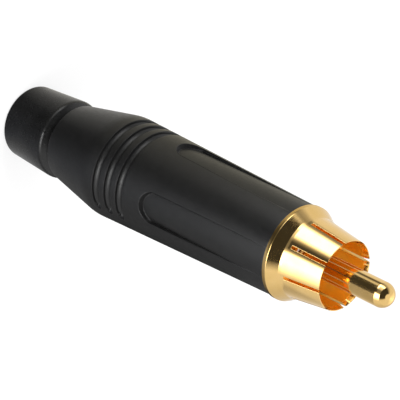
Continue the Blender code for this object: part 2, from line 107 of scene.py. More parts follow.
# Painted reflections: what glossy rays see round the plug instead of lit surroundings, glowing soft boxes
# and darker shade among them; azimuth, brightness and tint of each stop
CREAM = (1.0, 0.93, 0.72)
WARM = (1.0, 0.97, 0.90)
PLAIN = (1.0, 1.0, 1.0)
COOL = (0.92, 0.95, 1.04)
NEAR_FLOOR = (
    (-180, 0.60, PLAIN), (-150, 0.70, WARM), (-110, 0.85, WARM), (-90, 0.75, WARM), (-70, 0.50, WARM),
    (-50, 0.30, WARM), (-32, 0.10, PLAIN), (-16, 0.06, PLAIN), (-8, 0.08, PLAIN), (2, 0.16, COOL),
    (20, 0.18, COOL), (40, 0.30, COOL), (60, 0.46, PLAIN), (90, 0.56, PLAIN), (130, 0.42, PLAIN),
    (180, 0.60, PLAIN),
)
FLARE_FLOOR = (
    (-180, 0.90, PLAIN), (-110, 0.85, WARM), (-90, 0.70, WARM), (-70, 0.50, WARM), (-50, 0.30, WARM),
    (-32, 0.06, PLAIN), (-12, 0.01, PLAIN), (10, 0.06, COOL), (30, 0.18, COOL), (56, 0.32, COOL),
    (96, 0.33, PLAIN), (120, 0.25, PLAIN), (150, 0.15, PLAIN), (180, 0.20, PLAIN),
)
MIDDLE_FLOOR = (
    (-180, 0.55, WARM), (-150, 0.72, CREAM), (-130, 0.74, CREAM), (-110, 0.62, CREAM), (-90, 0.56, CREAM),
    (-70, 0.47, CREAM), (-50, 0.31, CREAM), (-30, 0.09, CREAM), (-12, 0.05, WARM), (0, 0.09, COOL),
    (12, 0.27, COOL), (30, 0.47, COOL), (50, 0.41, COOL), (70, 0.29, PLAIN), (100, 0.20, PLAIN),
    (130, 0.08, PLAIN), (150, 0.02, PLAIN), (180, 0.02, PLAIN),
)
FAR_FLOOR = (
    (-180, 0.90, PLAIN), (-102, 0.85, PLAIN), (-94, 0.30, PLAIN), (-86, 0.10, PLAIN), (-79, 0.12, PLAIN),
    (-72, 0.40, PLAIN), (-66, 0.70, PLAIN), (-56, 0.70, PLAIN), (-49, 0.12, PLAIN), (-42, 0.05, PLAIN),
    (24, 0.05, PLAIN), (34, 0.40, PLAIN), (90, 0.45, PLAIN), (115, 0.50, PLAIN), (140, 0.70, PLAIN),
    (180, 0.90, PLAIN),
)
SOFT_BOXES = (
    (-180, 0.85, PLAIN), (-102, 0.80, PLAIN), (-92, 0.25, PLAIN), (-82, 0.20, PLAIN), (-76, 0.50, PLAIN),
    (-70, 2.20, PLAIN), (-66, 4.00, PLAIN), (-38, 4.00, PLAIN), (-31, 1.40, PLAIN), (-25, 0.30, PLAIN),
    (-18, 0.06, PLAIN), (2, 0.08, PLAIN), (8, 0.80, PLAIN), (13, 4.20, PLAIN), (34, 4.20, PLAIN),
    (50, 2.80, PLAIN), (60, 1.60, PLAIN), (70, 0.85, PLAIN), (90, 0.82, PLAIN), (120, 0.66, PLAIN),
    (150, 0.66, PLAIN), (180, 0.80, PLAIN),
)
LOW_SKY = (
    (-180, 0.85, PLAIN), (-102, 0.80, PLAIN), (-92, 0.50, PLAIN), (-82, 0.30, PLAIN), (-76, 0.50, PLAIN),
    (-70, 1.80, PLAIN), (-65, 3.40, PLAIN), (-55, 3.40, PLAIN), (-50, 1.20, PLAIN), (-38, 1.00, PLAIN),
    (-31, 0.80, PLAIN), (-25, 0.40, PLAIN), (-18, 0.20, PLAIN), (2, 0.25, PLAIN), (8, 0.80, PLAIN),
    (13, 3.50, PLAIN), (20, 6.00, PLAIN), (38, 6.00, PLAIN), (50, 2.40, PLAIN), (60, 1.30, PLAIN),
    (70, 0.85, PLAIN), (90, 0.82, PLAIN), (120, 0.66, PLAIN), (150, 0.66, PLAIN), (180, 0.80, PLAIN),
)
HIGH_SKY = (
    (-180, 1.60, PLAIN), (-140, 0.85, PLAIN), (-110, 0.85, PLAIN), (-92, 0.50, PLAIN), (-80, 0.15, PLAIN),
    (-72, 0.04, PLAIN), (42, 0.04, PLAIN), (54, 0.50, PLAIN), (64, 0.85, PLAIN), (140, 0.85, PLAIN),
    (180, 1.60, PLAIN),
)
ZENITH = ((-180, 0.9, PLAIN), (180, 0.9, PLAIN))

# How close two seated pieces come in the finished model
SEAM = 0.00005

NECK_Z = BOOT_FRONT_Z + SEAM
FLARE_FRONT_Z = BOOT_FRONT_Z + 0.0003 + FLARE_LENGTH
SHOULDER_Z = FLARE_FRONT_Z + SHOULDER_ROUND
FIRST_GROOVE_Z = FLARE_FRONT_Z + 0.00315
FLANGE_Z = 0.04912
SHELL_END_Z = FLANGE_Z - SEAM
MERGE_DISTANCE = 1e-7


def new_piece(bm, name, body, material, nodes=()):
    """Turn a bmesh into a shown piece that rides on a body and stands for its nodes."""
    mesh = bpy.data.meshes.new(name)
    bm.to_mesh(mesh)
    bm.free()
    mesh.shade_smooth()
    mesh.set_sharp_from_angle(angle=math.radians(40))
    mesh.materials.append(material)
    piece = bpy.data.objects.new(name, mesh)
    bpy.context.scene.collection.objects.link(piece)
    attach(piece, body)
    if nodes:
        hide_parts(*nodes)
    return piece


def rounded(corners):
    """Profile points from (radius, height, fillet) corners, each rounded by its own fillet."""
    points = []
    count = len(corners)
    for index, (radius, height, fillet) in enumerate(corners):
        corner = Vector((radius, height))
        before = Vector(corners[index - 1][:2]) - corner
        after = Vector(corners[(index + 1) % count][:2]) - corner
        if fillet == 0.0:
            points.append(corner)
            continue
        half = before.angle(after) / 2
        reach = min(fillet / math.tan(half), before.length * 0.85, after.length * 0.85)
        start = corner + before.normalized() * reach
        end = corner + after.normalized() * reach
        steps = max(2, round((math.pi - 2 * half) / math.radians(7)))
        for step in range(steps + 1):
            share = step / steps
            points.append(start * (1 - share) ** 2 + corner * 2 * share * (1 - share) + end * share ** 2)
    return [(point.x, point.y) for point in points]


def spun(profile, steps, closed=True):
    """Spin a profile of (radius, height) points about the plug's axis."""
    bm = bmesh.new()
    verts = [bm.verts.new((radius, 0.0, height)) for radius, height in profile]
    edges = [bm.edges.new(pair) for pair in zip(verts, verts[1:])]
    if closed:
        edges.append(bm.edges.new((verts[-1], verts[0])))
    bmesh.ops.spin(bm, geom=verts + edges, cent=(0, 0, 0), axis=(0, 0, 1), angle=math.tau,
                   steps=steps, use_merge=True)
    bmesh.ops.remove_doubles(bm, verts=bm.verts, dist=MERGE_DISTANCE)
    bmesh.ops.recalc_face_normals(bm, faces=bm.faces)
    return bm


def carve(piece, cutter_bm, operation="DIFFERENCE"):
    """Cut a closed shape out of a piece, or join it on, and keep the result as the piece's mesh."""
    bmesh.ops.recalc_face_normals(cutter_bm, faces=cutter_bm.faces)
    cutter_mesh = bpy.data.meshes.new("carver")
    cutter_bm.to_mesh(cutter_mesh)
    cutter_bm.free()
    cutter = bpy.data.objects.new("carver", cutter_mesh)
    bpy.context.scene.collection.objects.link(cutter)
    boolean = piece.modifiers.new("carve", "BOOLEAN")
    boolean.operation = operation
    boolean.solver = "EXACT"
    boolean.object = cutter
    graph = bpy.context.evaluated_depsgraph_get()
    carved = bpy.data.meshes.new_from_object(piece.evaluated_get(graph))
    piece.modifiers.clear()
    piece.data = carved
    carved.set_sharp_from_angle(angle=math.radians(40))
    bpy.data.objects.remove(cutter)


def box(low, high, angle=0.0):
    """A closed box between two corners, turned about the plug's axis."""
    bm = bmesh.new()
    low = Vector(low)
    high = Vector(high)
    matrix = Matrix.Translation((low + high) / 2) @ Matrix.Diagonal((*(high - low), 1.0))
    verts = bmesh.ops.create_cube(bm, size=1.0, matrix=matrix)["verts"]
    bmesh.ops.rotate(bm, verts=verts, cent=(0, 0, 0), matrix=Matrix.Rotation(angle, 3, "Z"))
    return bm


def soften_edges(piece, width):
    """Round a piece's sharp edges by a width."""
    bevel = piece.modifiers.new("soft edges", "BEVEL")
    bevel.width = width
    bevel.segments = 2
    bevel.limit_method = "ANGLE"
    bevel.angle_limit = math.radians(50)
    bevel.harden_normals = True


def column_of(vert, steps):
    """Number of the spun column that a vertex lies in."""
    return round((math.atan2(vert.co.y, vert.co.x) % math.tau) / math.tau * steps) % steps


def place_round(vert, radius, angle):
    """Move a vertex to a radius and an angle round the plug's axis, at its own height."""
    vert.co.x = radius * math.cos(angle)
    vert.co.y = radius * math.sin(angle)


def towards(azimuth, elevation):
    """Unit vector from the plug towards an azimuth and an elevation in degrees."""
    azimuth = math.radians(azimuth)
    elevation = math.radians(elevation)
    return Vector((math.sin(azimuth) * math.cos(elevation), -math.cos(azimuth) * math.cos(elevation),
                   math.sin(elevation)))


def span(start, stop, step):
    """Evenly spaced heights from start up to, and without, stop."""
    count = max(1, round((stop - start) / step))
    return [start + (stop - start) * index / count for index in range(count)]


class Finish:
    """A node material: the shader, its Object coordinates and the few nodes that finishes here need."""

    def __init__(self, name, colour, metallic, roughness):
        self.material = bpy.data.materials.new(name)
        self.material.use_nodes = True
        self.tree = self.material.node_tree
        self.shader = self.tree.nodes["Principled BSDF"]
        self.shader.inputs["Base Color"].default_value = (*colour, 1.0)
        self.shader.inputs["Metallic"].default_value = metallic
        self.shader.inputs["Roughness"].default_value = roughness
        self.place = self.tree.nodes.new("ShaderNodeTexCoord").outputs["Object"]

    def link(self, output, node, socket):
        self.tree.links.new(output, node.inputs[socket])

    def map_range(self, value, source, target):
        """Carry a value from the source range over to the target range."""
        node = self.tree.nodes.new("ShaderNodeMapRange")
        for socket, number in zip(("From Min", "From Max", "To Min", "To Max"), (*source, *target)):
            node.inputs[socket].default_value = number
        self.link(value, node, "Value")
        return node.outputs["Result"]

    def noise(self, scale, detail=2.0, stretch=(1, 1, 1)):
        """Noise over the piece, stretched along its axes."""
        mapping = self.tree.nodes.new("ShaderNodeMapping")
        mapping.inputs["Scale"].default_value = stretch
        self.link(self.place, mapping, "Vector")
        node = self.tree.nodes.new("ShaderNodeTexNoise")
        node.inputs["Scale"].default_value = scale
        node.inputs["Detail"].default_value = detail
        self.link(mapping.outputs["Vector"], node, "Vector")
        return node.outputs["Fac"]

    def vary_colour(self, value, dark, light):
        """Let a noise move the colour between two shades."""
        ramp = self.tree.nodes.new("ShaderNodeValToRGB")
        ramp.color_ramp.elements[0].position = 0.3
        ramp.color_ramp.elements[0].color = (*dark, 1.0)
        ramp.color_ramp.elements[1].position = 0.7
        ramp.color_ramp.elements[1].color = (*light, 1.0)
        self.link(value, ramp, "Fac")
        self.link(ramp.outputs["Color"], self.shader, "Base Color")

    def vary_roughness(self, value, low, high):
        """Let a noise move the roughness between two values."""
        self.link(self.map_range(value, (0.3, 0.7), (low, high)), self.shader, "Roughness")

    def give_bore_satin_and_painted_glow(self, radius, roughness, colour):
        """Give everything within a radius of the plug's axis a satin roughness and a deeper orange, partly
        diffuse colour; that colour is painted light, standing in for the glow bounced between the gold
        surfaces inside.
        """
        flat = self.tree.nodes.new("ShaderNodeMapping")
        flat.inputs["Scale"].default_value = (1, 1, 0)
        self.link(self.place, flat, "Vector")
        reach = self.tree.nodes.new("ShaderNodeVectorMath")
        reach.operation = "LENGTH"
        self.link(flat.outputs["Vector"], reach, 0)
        edge = (radius + 0.00001, radius + 0.00003)
        self.link(self.map_range(reach.outputs["Value"], edge, (0.55, 1.0)), self.shader, "Metallic")
        inner_share = self.map_range(reach.outputs["Value"], edge, (1.0, 0.0))
        for socket, kind, inner in (("Roughness", "FLOAT", roughness), ("Base Color", "RGBA", colour)):
            mix = self.tree.nodes.new("ShaderNodeMix")
            mix.data_type = kind
            mix_in = {entry.name: entry for entry in mix.inputs if entry.enabled}
            mix_out = [entry for entry in mix.outputs if entry.enabled][0]
            self.tree.links.new(inner_share, mix_in["Factor"])
            self.tree.links.new(self.shader.inputs[socket].links[0].from_socket, mix_in["A"])
            mix_in["B"].default_value = inner
            self.link(mix_out, self.shader, socket)

    def calc(self, operation, first, second=0.0):
        """Work out one sum from numbers or from other nodes' values."""
        node = self.tree.nodes.new("ShaderNodeMath")
        node.operation = operation
        for index, value in enumerate((first, second)):
            if isinstance(value, float):
                node.inputs[index].default_value = value
            else:
                self.link(value, node, index)
        return node.outputs["Value"]

    def paint_recess_edge_shade(self, land_width, side_width, rear_width, level):
        """Painted shade: lower the sheen along the steep edges and rear ends of the long recesses, so they
        show as dark lines, less and less towards the front.
        """
        turned = self.tree.nodes.new("ShaderNodeMapping")
        turned.inputs["Rotation"].default_value = (0, 0, math.pi / RECESS_COUNT)
        self.link(self.place, turned, "Vector")
        parts = self.tree.nodes.new("ShaderNodeSeparateXYZ")
        self.link(turned.outputs["Vector"], parts, "Vector")
        across = self.calc("MINIMUM", self.calc("ABSOLUTE", parts.outputs["X"]),
                           self.calc("ABSOLUTE", parts.outputs["Y"]))
        rear_z = SHELL_FRONT_Z - RECESS_LENGTH
        behind = self.calc("MAXIMUM", self.calc("SUBTRACT", rear_z + RECESS_HALF_WIDTH, parts.outputs["Z"]))
        from_middle = self.calc("SQRT", self.calc("ADD", self.calc("MULTIPLY", across, across),
                                                  self.calc("MULTIPLY", behind, behind)))
        rear_share = self.calc("DIVIDE", behind, from_middle)
        width = self.calc("ADD", self.calc("MULTIPLY", rear_share, rear_width - side_width), side_width)
        reach = self.calc("ADD", self.calc("MULTIPLY", rear_share, -land_width),
                          RECESS_HALF_WIDTH + land_width)
        inside = self.calc("DIVIDE", self.calc("SUBTRACT", reach, from_middle), width)
        ramp = self.tree.nodes.new("ShaderNodeValToRGB")
        stops = ramp.color_ramp.elements
        for _ in range(2):
            stops.new(0.5)
        for stop, (position, shade) in zip(stops, ((0.0, 0.0), (0.15, 1.0), (0.85, 1.0), (1.0, 0.0))):
            stop.position = position
            stop.color = (shade, shade, shade, 1.0)
        self.link(inside, ramp, "Fac")
        fade_heights = (rear_z + RECESS_LENGTH * 0.3, rear_z + RECESS_LENGTH * 0.95)
        fade = self.map_range(parts.outputs["Z"], fade_heights, (level - 0.5, 0.0))
        sheen = self.calc("ADD", self.calc("MULTIPLY", ramp.outputs["Color"], fade), 0.5)
        self.link(sheen, self.shader, "Specular IOR Level")

    def bump(self, value, height, strength=1.0):
        """Let a noise raise the surface by a height."""
        node = self.tree.nodes.new("ShaderNodeBump")
        node.inputs["Distance"].default_value = height
        node.inputs["Strength"].default_value = strength
        self.link(value, node, "Height")
        self.link(node.outputs["Normal"], self.shader, "Normal")


def satin_casting():
    """Satin black finish over a die casting: a fine even grain with slight cloudiness in its sheen, and
    painted shade as dark lines along the edges of its long recesses.
    """
    finish = Finish("satin_black_casting", (0.0078, 0.0078, 0.0078), 0.0, 0.4)
    finish.vary_colour(finish.noise(900.0), (0.0068, 0.0068, 0.0068), (0.0088, 0.0088, 0.0088))
    finish.vary_roughness(finish.noise(2500.0, 3.0), 0.34, 0.42)
    # Painted shade: dark lines along the recess edges, made by a lower sheen there
    finish.paint_recess_edge_shade(0.00008, 0.00018, 0.00038, 0.1)
    finish.bump(finish.noise(5200.0, 3.0), 0.000010, 0.5)
    return finish.material


def boot_plastic():
    """Moulded black plastic, smoother than the shell."""
    finish = Finish("black_boot_plastic", (0.007, 0.007, 0.007), 0.0, 0.3)
    finish.vary_colour(finish.noise(700.0), (0.006, 0.006, 0.006), (0.008, 0.008, 0.008))
    finish.vary_roughness(finish.noise(1800.0, 3.0), 0.26, 0.31)
    finish.bump(finish.noise(3000.0, 2.0), 0.000006, 0.1)
    return finish.material


def gold_plate(name, bore_satin_and_painted_glow=False):
    """Polished gold plate over turned brass, with faint turning marks; a bore may stay satin, with a
    painted orange glow for the light bounced round inside it.
    """
    finish = Finish(name, (0.94, 0.63, 0.24), 1.0, 0.1)
    finish.vary_colour(finish.noise(600.0), (0.92, 0.61, 0.22), (0.96, 0.65, 0.26))
    finish.vary_roughness(finish.noise(1500.0, 3.0, (1, 1, 6)), 0.07, 0.12)
    if bore_satin_and_painted_glow:
        # Painted light: the bore's orange glow from light bounced between the petals is painted into its
        # colour
        finish.give_bore_satin_and_painted_glow(PETAL_BORE_RADIUS, 0.22, (1.0, 0.50, 0.03, 1.0))
    finish.bump(finish.noise(900.0, 2.0, (0.2, 0.2, 12)), 0.000002, 0.3)
    return finish.material


def insulator_plastic():
    """White machined insulator, slightly waxy."""
    finish = Finish("white_insulator", (0.80, 0.79, 0.75), 0.0, 0.45)
    finish.shader.inputs["Subsurface Weight"].default_value = 0.15
    finish.shader.inputs["Subsurface Radius"].default_value = (0.0006, 0.0005, 0.0004)
    finish.vary_colour(finish.noise(800.0), (0.76, 0.75, 0.71), (0.83, 0.82, 0.79))
    finish.vary_roughness(finish.noise(2000.0), 0.4, 0.52)
    finish.bump(finish.noise(1200.0, 2.0, (1, 1, 8)), 0.000004, 0.4)
    return finish.material


def clamp_plastic():
    """Natural grey moulded plastic of the hidden clamp and sleeve."""
    finish = Finish("clamp_plastic", (0.35, 0.36, 0.37), 0.0, 0.4)
    finish.vary_colour(finish.noise(500.0), (0.32, 0.33, 0.34), (0.38, 0.39, 0.40))
    finish.vary_roughness(finish.noise(1600.0), 0.34, 0.46)
    finish.bump(finish.noise(2200.0), 0.000006, 0.4)
    return finish.material


def tinned_brass():
    """Tin plate with the soft blotches that a dipped coat has."""
    finish = Finish("tinned_metal", (0.70, 0.70, 0.68), 1.0, 0.3)
    finish.vary_colour(finish.noise(1100.0, 4.0), (0.62, 0.62, 0.60), (0.76, 0.76, 0.74))
    finish.vary_roughness(finish.noise(1600.0, 4.0), 0.22, 0.42)
    finish.bump(finish.noise(2600.0, 3.0), 0.000005, 0.5)
    return finish.material


black_metal = satin_casting()
black_plastic = boot_plastic()
gold = gold_plate("gold_plate")
ring_gold = gold_plate("gold_plate_satin_bore", bore_satin_and_painted_glow=True)
white_plastic = insulator_plastic()
grey_plastic = clamp_plastic()
tin = tinned_brass()


def shell_radius(height):
    """Outer radius of the shell before its grooves and recesses."""
    slope = (SHOULDER_RADIUS - NECK_RADIUS) / (FLARE_LENGTH + SHOULDER_ROUND / 2)
    if height >= SHOULDER_Z:
        share = (height - SHOULDER_Z) / (SHELL_FRONT_Z - SHOULDER_Z)
        return SHOULDER_RADIUS + (SHELL_FRONT_RADIUS - SHOULDER_RADIUS) * share
    if height >= FLARE_FRONT_Z:
        share = (SHOULDER_Z - height) / SHOULDER_ROUND
        return SHOULDER_RADIUS - slope * SHOULDER_ROUND / 2 * share ** 2
    return SHOULDER_RADIUS - slope * SHOULDER_ROUND / 2 - slope * (FLARE_FRONT_Z - height)


def groove_cut(angle, height, radius):
    """Depth of the grip grooves at a place on the shell: round rim, upright wall, round bottom."""
    half = GROOVE_WIDTH / 2
    from_middle = abs(abs(angle) - math.pi / 2)
    past_end = max(0.0, (from_middle - GROOVE_HALF_SPAN) * radius)
    depth = 0.0
    for index in range(GROOVE_COUNT):
        middle = FIRST_GROOVE_Z + index * GROOVE_PITCH
        away = math.hypot(past_end, height - middle)
        inside = half - away
        if inside > GROOVE_RIM:
            bowl = math.sqrt(GROOVE_CURVE ** 2 - away ** 2) - GROOVE_CURVE
            depth = max(depth, GROOVE_DEPTH + bowl)
        elif inside > 0.0:
            depth = max(depth, GROOVE_RIM - math.sqrt(GROOVE_RIM ** 2 - inside ** 2))
    return depth


def recess_place(angle, height, radius):
    """Where a place on the shell goes in the long recesses: straight sides, a sloping rear end."""
    rear_z = SHELL_FRONT_Z - RECESS_LENGTH
    pitch = math.tau / RECESS_COUNT
    offset = (angle % pitch) - pitch / 2
    across = radius * math.sin(offset)
    along = radius * math.cos(offset)
    behind = max(0.0, rear_z + RECESS_HALF_WIDTH - height)
    from_middle = math.hypot(across, behind)
    inside = RECESS_HALF_WIDTH - from_middle
    if inside <= 0.0:
        return angle, radius
    rear_share = behind / from_middle if behind else 0.0
    wall = RECESS_WALL_WIDTH + RECESS_REAR_WIDENING * rear_share
    share = max(0.0, height - rear_z) / RECESS_LENGTH
    depth = RECESS_REAR_DEPTH + (RECESS_FRONT_DEPTH - RECESS_REAR_DEPTH) * share ** 0.8
    floor = math.sqrt((radius - depth) ** 2 - across ** 2)
    along -= (along - floor) * min(1.0, inside / wall) ** (1.8 - 0.7 * rear_share)
    return angle - offset + math.atan2(across, along), math.hypot(across, along)


def shell_columns():
    """Half a recess sector: places across the recess by distance, then by angle up to the land's middle."""
    inner = [0.00012 * index for index in range(15)]
    edge = [0.00178, 0.00185, 0.00190, 0.00192, 0.00195, 0.00198, 0.00201, 0.00205, 0.00212]
    outer_angles = [21.4, 22.4, 23.4, 24.3, 25.0, 25.7, 26.4, 27.0, 27.6, 28.2, 28.8, 29.4, 30.2, 31.4,
                    33.0, 35.0, 37.5, 40.0, 42.5]
    return inner + edge, [math.radians(angle) for angle in outer_angles]


def column_angle(column, radius, across, angles):
    """Angle from a recess's middle of the column with this signed number."""
    number = abs(column)
    if number < len(across):
        offset = math.asin(across[number] / max(radius, SHELL_FRONT_RADIUS))
    else:
        offset = angles[number - len(across)]
    return math.copysign(offset, column)


def shell_rows():
    """Heights of the vertex rows along the shell, close together where its surface turns."""
    rows = span(NECK_Z + 0.0002, FLARE_FRONT_Z, 0.0008)
    reach = GROOVE_WIDTH / 2
    rows += span(FLARE_FRONT_Z, FIRST_GROOVE_Z - reach, 0.0002)
    for index in range(GROOVE_COUNT):
        groove_z = FIRST_GROOVE_Z + index * GROOVE_PITCH
        rows += [groove_z - reach + GROOVE_RIM * share for share in (0.0, 0.3, 0.6, 0.85, 0.99)]
        rows += span(groove_z - reach + GROOVE_RIM * 1.04, groove_z + reach - GROOVE_RIM * 1.04, 0.00006)
        rows += [groove_z + reach - GROOVE_RIM * share for share in (1.04, 0.99, 0.85, 0.6, 0.3)]
        rows += span(groove_z + reach, groove_z + GROOVE_PITCH - reach, 0.0003)
    recess_z = SHELL_FRONT_Z - RECESS_LENGTH
    rows += span(rows[-1] + 0.0002, recess_z - 0.00003, 0.0003)
    rows += span(recess_z - 0.00003, recess_z + 0.0004, 0.00004)
    rows += span(recess_z + 0.0004, recess_z + RECESS_HALF_WIDTH + 0.0001, 0.00007)
    rows += span(recess_z + RECESS_HALF_WIDTH + 0.0001, SHELL_FRONT_Z - 0.0003, 0.0004)
    return rows


def make_shell():
    """Shell with its grooves and recesses pressed into a fine spun wall."""
    across, angles = shell_columns()
    half = len(across) + len(angles)
    outside = [(shell_radius(height), height, 0.0) for height in reversed(shell_rows())]
    profile = rounded([
        (SHELL_BORE_RADIUS, SHELL_END_Z, 0.0001),
        (SHELL_FRONT_RADIUS, SHELL_END_Z, 0.00012),
        *outside,
        (NECK_RADIUS - 0.00005, NECK_Z, 0.0001),
        (SPIGOT_RADIUS, NECK_Z, 0.0),
        (SPIGOT_RADIUS, SHELL_REAR_Z, 0.0002),
        (CABLE_BORE_RADIUS, SHELL_REAR_Z, 0.0002),
        (CABLE_BORE_RADIUS, CLAMP_REAR_Z - CLAMP_SEAT_GAP, 0.0),
        (CLAMP_SEAT_RADIUS, CLAMP_REAR_Z - CLAMP_SEAT_GAP, 0.0),
        (SHELL_BORE_RADIUS, CLAMP_REAR_Z + CLAMP_CONE_LENGTH, 0.0),
    ])
    per_sector = 2 * half - 1
    steps = RECESS_COUNT * per_sector
    bm = spun(profile, steps)
    first_middle = math.pi / RECESS_COUNT
    for vert in bm.verts:
        radius = math.hypot(vert.co.x, vert.co.y)
        sector, place = divmod(column_of(vert, steps), per_sector)
        offset = column_angle(place - half + 1, radius, across, angles)
        angle = first_middle + sector * math.tau / RECESS_COUNT + offset
        if vert.co.z > NECK_Z + 0.0001 and radius > SHELL_BORE_RADIUS + 0.0003:
            wrapped = (angle + math.pi) % math.tau - math.pi
            radius -= groove_cut(wrapped, vert.co.z, radius)
            angle, radius = recess_place(angle, vert.co.z, radius)
        place_round(vert, radius, angle)
    return new_piece(bm, "shell_casting", "shell", black_metal, ["shell"])


def make_boot():
    """Push-on boot with a rounded front edge and the fine parting line of its mould."""
    seam_angle = math.radians(-68.0)
    seam_height = 0.00003
    outside_radius = 0.0047
    profile = rounded([
        (BOOT_SOCKET_RADIUS, BOOT_FRONT_Z, 0.0001),
        (BOOT_LIP_RADIUS, BOOT_FRONT_Z, 0.0001),
        (BOOT_LIP_RADIUS, BOOT_FRONT_Z - 0.00058, 0.00005),
        (BOOT_RADIUS + 0.00006, BOOT_FRONT_Z - 0.00128, 0.001),
        (BOOT_RADIUS - 0.00042, 0.0, 0.0004),
        (CABLE_BORE_RADIUS, 0.0, 0.0003),
        (CABLE_BORE_RADIUS, BOOT_FLOOR, 0.0002),
        (BOOT_SOCKET_RADIUS, BOOT_FLOOR, 0.0),
    ])
    steps = 240
    bm = spun(profile, steps)
    for vert in bm.verts:
        radius = math.hypot(vert.co.x, vert.co.y)
        angle = math.atan2(vert.co.y, vert.co.x)
        away = min(abs((angle - seam_angle + side * math.pi + math.pi) % math.tau - math.pi)
                   for side in (0, 1))
        if radius > outside_radius and away < math.pi / steps:
            vert.co.x *= 1 + seam_height / radius
            vert.co.y *= 1 + seam_height / radius
    return new_piece(bm, "boot_moulding", "boot", black_plastic, ["rear_boot"])


def make_contact():
    """Gold contact: threaded rear, flange, shoulder and a ring cut into petals by straight slots."""
    slot_end_z = RING_TIP_Z - SLOT_LENGTH
    lead_in_depth = 0.00024
    lead_in_length = 0.0007
    root_radius = 0.00517
    root_z = 0.0514
    taper = (root_radius - PETAL_TIP_RADIUS) / (RING_TIP_Z - root_z)
    core_radius = 0.00425
    bore_radius = 0.0039
    lip_radius = 0.0025
    lip_rear_z = 0.04995
    lip_front_z = 0.05085
    profile = rounded([
        (PETAL_BORE_RADIUS, slot_end_z, 0.0),
        (PETAL_BORE_RADIUS, RING_TIP_Z - lead_in_length, 0.0003),
        (PETAL_BORE_RADIUS + lead_in_depth, RING_TIP_Z, 0.0),
        (PETAL_TIP_RADIUS, RING_TIP_Z, 0.0),
        (PETAL_TIP_RADIUS + taper * 0.0014, RING_TIP_Z - 0.0014, 0.0),
        (PETAL_TIP_RADIUS + taper * 0.003, RING_TIP_Z - 0.003, 0.0),
        (PETAL_TIP_RADIUS + taper * SLOT_LENGTH, slot_end_z, 0.0),
        (SHOULDER_FOOT_RADIUS, SHOULDER_FOOT_Z, 0.001),
        (FLANGE_RADIUS - 0.00001, FLANGE_FRONT_Z, 0.00013),
        (FLANGE_RADIUS, FLANGE_Z, 0.00006),
        (core_radius, FLANGE_Z, 0.0),
        (core_radius, CONTACT_REAR_Z, 0.0001),
        (bore_radius, CONTACT_REAR_Z, 0.0001),
        (bore_radius, lip_rear_z, 0.0),
        (lip_radius, lip_rear_z, 0.0001),
        (lip_radius, lip_front_z, 0.0001),
        (PETAL_BORE_RADIUS, lip_front_z, 0.0001),
    ])
    petal_steps = 26
    sector_angle = math.tau / SLOT_COUNT
    per_sector = petal_steps + 1
    steps = SLOT_COUNT * per_sector
    bm = spun(profile, steps)
    column_layer = bm.verts.layers.int.new("column")
    for vert in bm.verts:
        radius = math.hypot(vert.co.x, vert.co.y)
        number = column_of(vert, steps)
        vert[column_layer] = number
        sector, place = divmod(number, per_sector)
        slot_half = math.asin(SLOT_WIDTH / 2 / radius)
        offset = slot_half + (sector_angle - 2 * slot_half) * place / petal_steps
        place_round(vert, radius, SLOT_FIRST_ANGLE + sector * sector_angle + offset)
    cut_slots(bm, column_layer, per_sector, steps, slot_end_z)
    contact = new_piece(bm, "contact_ring", "contact_unit", ring_gold, ["outer_contact"])
    soften_edges(contact, 0.00006)
    return contact


def cut_slots(bm, column_layer, per_sector, steps, slot_end_z):
    """Open the narrow column between two petals from the tip down to the slots' end."""
    gaps = {(sector * per_sector + per_sector - 1, (sector + 1) * per_sector % steps)
            for sector in range(SLOT_COUNT)}
    opened = []
    for face in bm.faces:
        columns = {vert[column_layer] for vert in face.verts}
        above = min(vert.co.z for vert in face.verts) > slot_end_z - MERGE_DISTANCE
        if above and any(columns == set(gap) for gap in gaps):
            opened.append(face)
    bmesh.ops.delete(bm, geom=opened, context="FACES")
    for gap in gaps:
        for column in gap:
            wall = [edge for edge in bm.edges
                    if edge.is_boundary and all(vert[column_layer] == column for vert in edge.verts)]
            bmesh.ops.contextual_create(bm, geom=wall)
    for gap in gaps:
        floor = [edge for edge in bm.edges
                 if edge.is_boundary and all(vert[column_layer] in gap for vert in edge.verts)]
        bmesh.ops.contextual_create(bm, geom=floor)
    bmesh.ops.recalc_face_normals(bm, faces=bm.faces)


def make_thread():
    """Fine right-hand thread on the contact's rear end."""
    steps_per_turn = 64
    turns = 8.4
    crest_radius = 0.00468
    root_radius = 0.0042
    start_z = CONTACT_REAR_Z + THREAD_PITCH
    bm = bmesh.new()
    corners = [(root_radius, -0.48), (crest_radius, -0.06), (crest_radius, 0.06), (root_radius, 0.48)]
    verts = [bm.verts.new((radius, 0.0, start_z + share * THREAD_PITCH)) for radius, share in corners]
    section = bm.faces.new(verts)
    steps = round(steps_per_turn * turns)
    bmesh.ops.spin(bm, geom=[section, *section.edges, *section.verts], cent=(0, 0, 0), axis=(0, 0, 1),
                   dvec=(0, 0, THREAD_PITCH / steps_per_turn), angle=math.tau * turns, steps=steps)
    bmesh.ops.recalc_face_normals(bm, faces=bm.faces)
    return new_piece(bm, "contact_thread", "contact_unit", gold)


